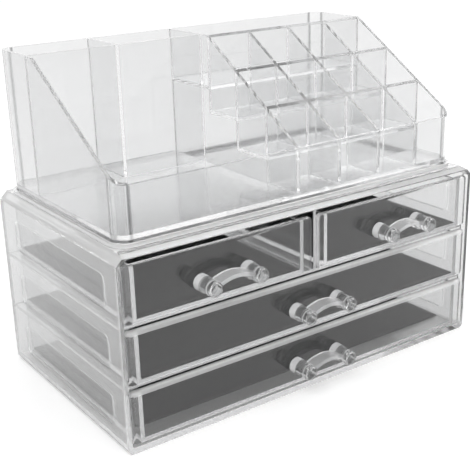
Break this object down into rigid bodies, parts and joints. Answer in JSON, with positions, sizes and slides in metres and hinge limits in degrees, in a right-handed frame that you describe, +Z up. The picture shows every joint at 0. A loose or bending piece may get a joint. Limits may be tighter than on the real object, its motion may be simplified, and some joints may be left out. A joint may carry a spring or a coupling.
{
  "type": "makeup organizer drawers",
  "caption": "Clear tabletop makeup organizer: a low chest of sliding drawers with soft mats, and a lift-off tray of stepped compartments on top.",
  "frame": {"origin": "under the middle of the whole object, handles included, on the surface that it stands on", "axes": "+X to the right as seen from the front, +Y from the drawer fronts to the back, +Z up"},
  "size_m": [0.238, 0.15, 0.1842],
  "materials": {
    "clear_plastic": "clear polished plastic",
    "clear_handle": "clear polished plastic",
    "black_mat": "matte black felt"
  },
  "bodies": {
    "chest": {"chest_shell": "clear_plastic", "lower_shelf": "clear_plastic", "upper_shelf": "clear_plastic", "centre_divider": "clear_plastic"},
    "bottom_drawer": {"bottom_drawer_box": "clear_plastic", "bottom_drawer_front": "clear_plastic", "bottom_drawer_handle": "clear_handle", "bottom_drawer_liner": "black_mat"},
    "middle_drawer": {"middle_drawer_box": "clear_plastic", "middle_drawer_front": "clear_plastic", "middle_drawer_handle": "clear_handle", "middle_drawer_liner": "black_mat"},
    "left_drawer": {"left_drawer_box": "clear_plastic", "left_drawer_front": "clear_plastic", "left_drawer_handle": "clear_handle", "left_drawer_liner": "black_mat"},
    "right_drawer": {"right_drawer_box": "clear_plastic", "right_drawer_front": "clear_plastic", "right_drawer_handle": "clear_handle", "right_drawer_liner": "black_mat"},
    "tray": {"makeup_tray": "clear_plastic"}
  },
  "joints": [
    {"name": "bottom_drawer_slide", "type": "slide", "parent": "chest", "child": "bottom_drawer", "axis": [0, -1, 0], "range_m": [0, 0.105]},
    {"name": "middle_drawer_slide", "type": "slide", "parent": "chest", "child": "middle_drawer", "axis": [0, -1, 0], "range_m": [0, 0.105]},
    {"name": "left_drawer_slide", "type": "slide", "parent": "chest", "child": "left_drawer", "axis": [0, -1, 0], "range_m": [0, 0.105]},
    {"name": "right_drawer_slide", "type": "slide", "parent": "chest", "child": "right_drawer", "axis": [0, -1, 0], "range_m": [0, 0.105]},
    {"name": "tray_lift", "type": "slide", "parent": "chest", "child": "tray", "axis": [0, 0, 1], "range_m": [0, 0.1]}
  ]
}
